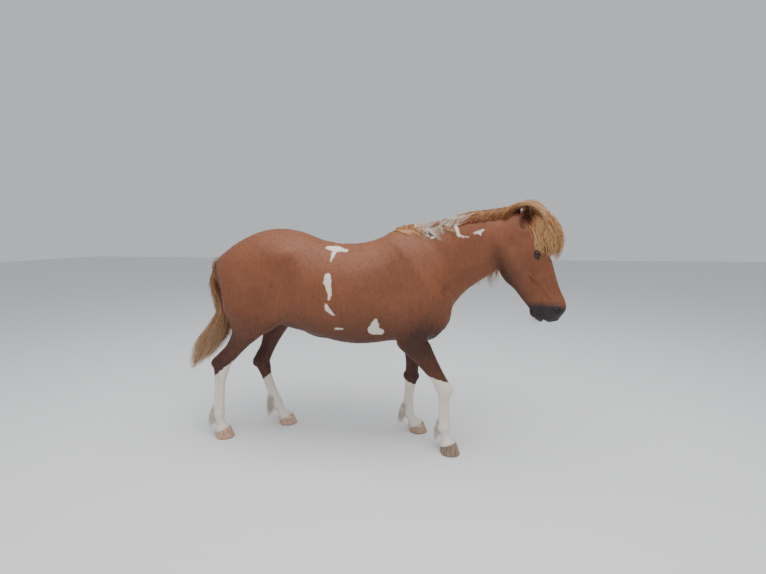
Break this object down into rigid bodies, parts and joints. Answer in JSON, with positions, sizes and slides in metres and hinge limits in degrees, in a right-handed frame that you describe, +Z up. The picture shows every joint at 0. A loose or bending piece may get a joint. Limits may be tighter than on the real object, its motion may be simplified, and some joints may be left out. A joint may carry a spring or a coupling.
{
  "type": "icelandic horse model",
  "caption": "Life-size still model of a shaggy chestnut pinto pony in mid-step, its head low and turned a little, with a flaxen mane and tail and white lower legs.",
  "frame": {"origin": "on the floor, under the middle of the whole model's box", "axes": "+X the way the body faces, +Y its left side, +Z up"},
  "size_m": [2.4174, 0.6182, 1.5079],
  "materials": {
    "coat": "short chestnut coat, soft sheen",
    "hair": "long flaxen hair with red-brown strands",
    "white_leg": "white lower leg with brown above, slightly dusty",
    "hoof": "dry horn, dusty",
    "eye": "dark, moist"
  },
  "bodies": {
    "root": {"torso": "coat", "neck": "coat", "head": "coat", "ear_right": "coat", "ear_left": "coat", "eye_right": "eye", "eye_left": "eye", "tail": "hair", "foreleg_right_upper": "coat", "foreleg_right_lower": "white_leg", "foreleg_right_hoof": "hoof", "foreleg_left_upper": "coat", "foreleg_left_lower": "white_leg", "foreleg_left_hoof": "hoof", "hindleg_right_upper": "coat", "hindleg_right_lower": "white_leg", "hindleg_right_hoof": "hoof", "hindleg_left_upper": "coat", "hindleg_left_lower": "white_leg", "hindleg_left_hoof": "hoof"}
  },
  "joints": []
}
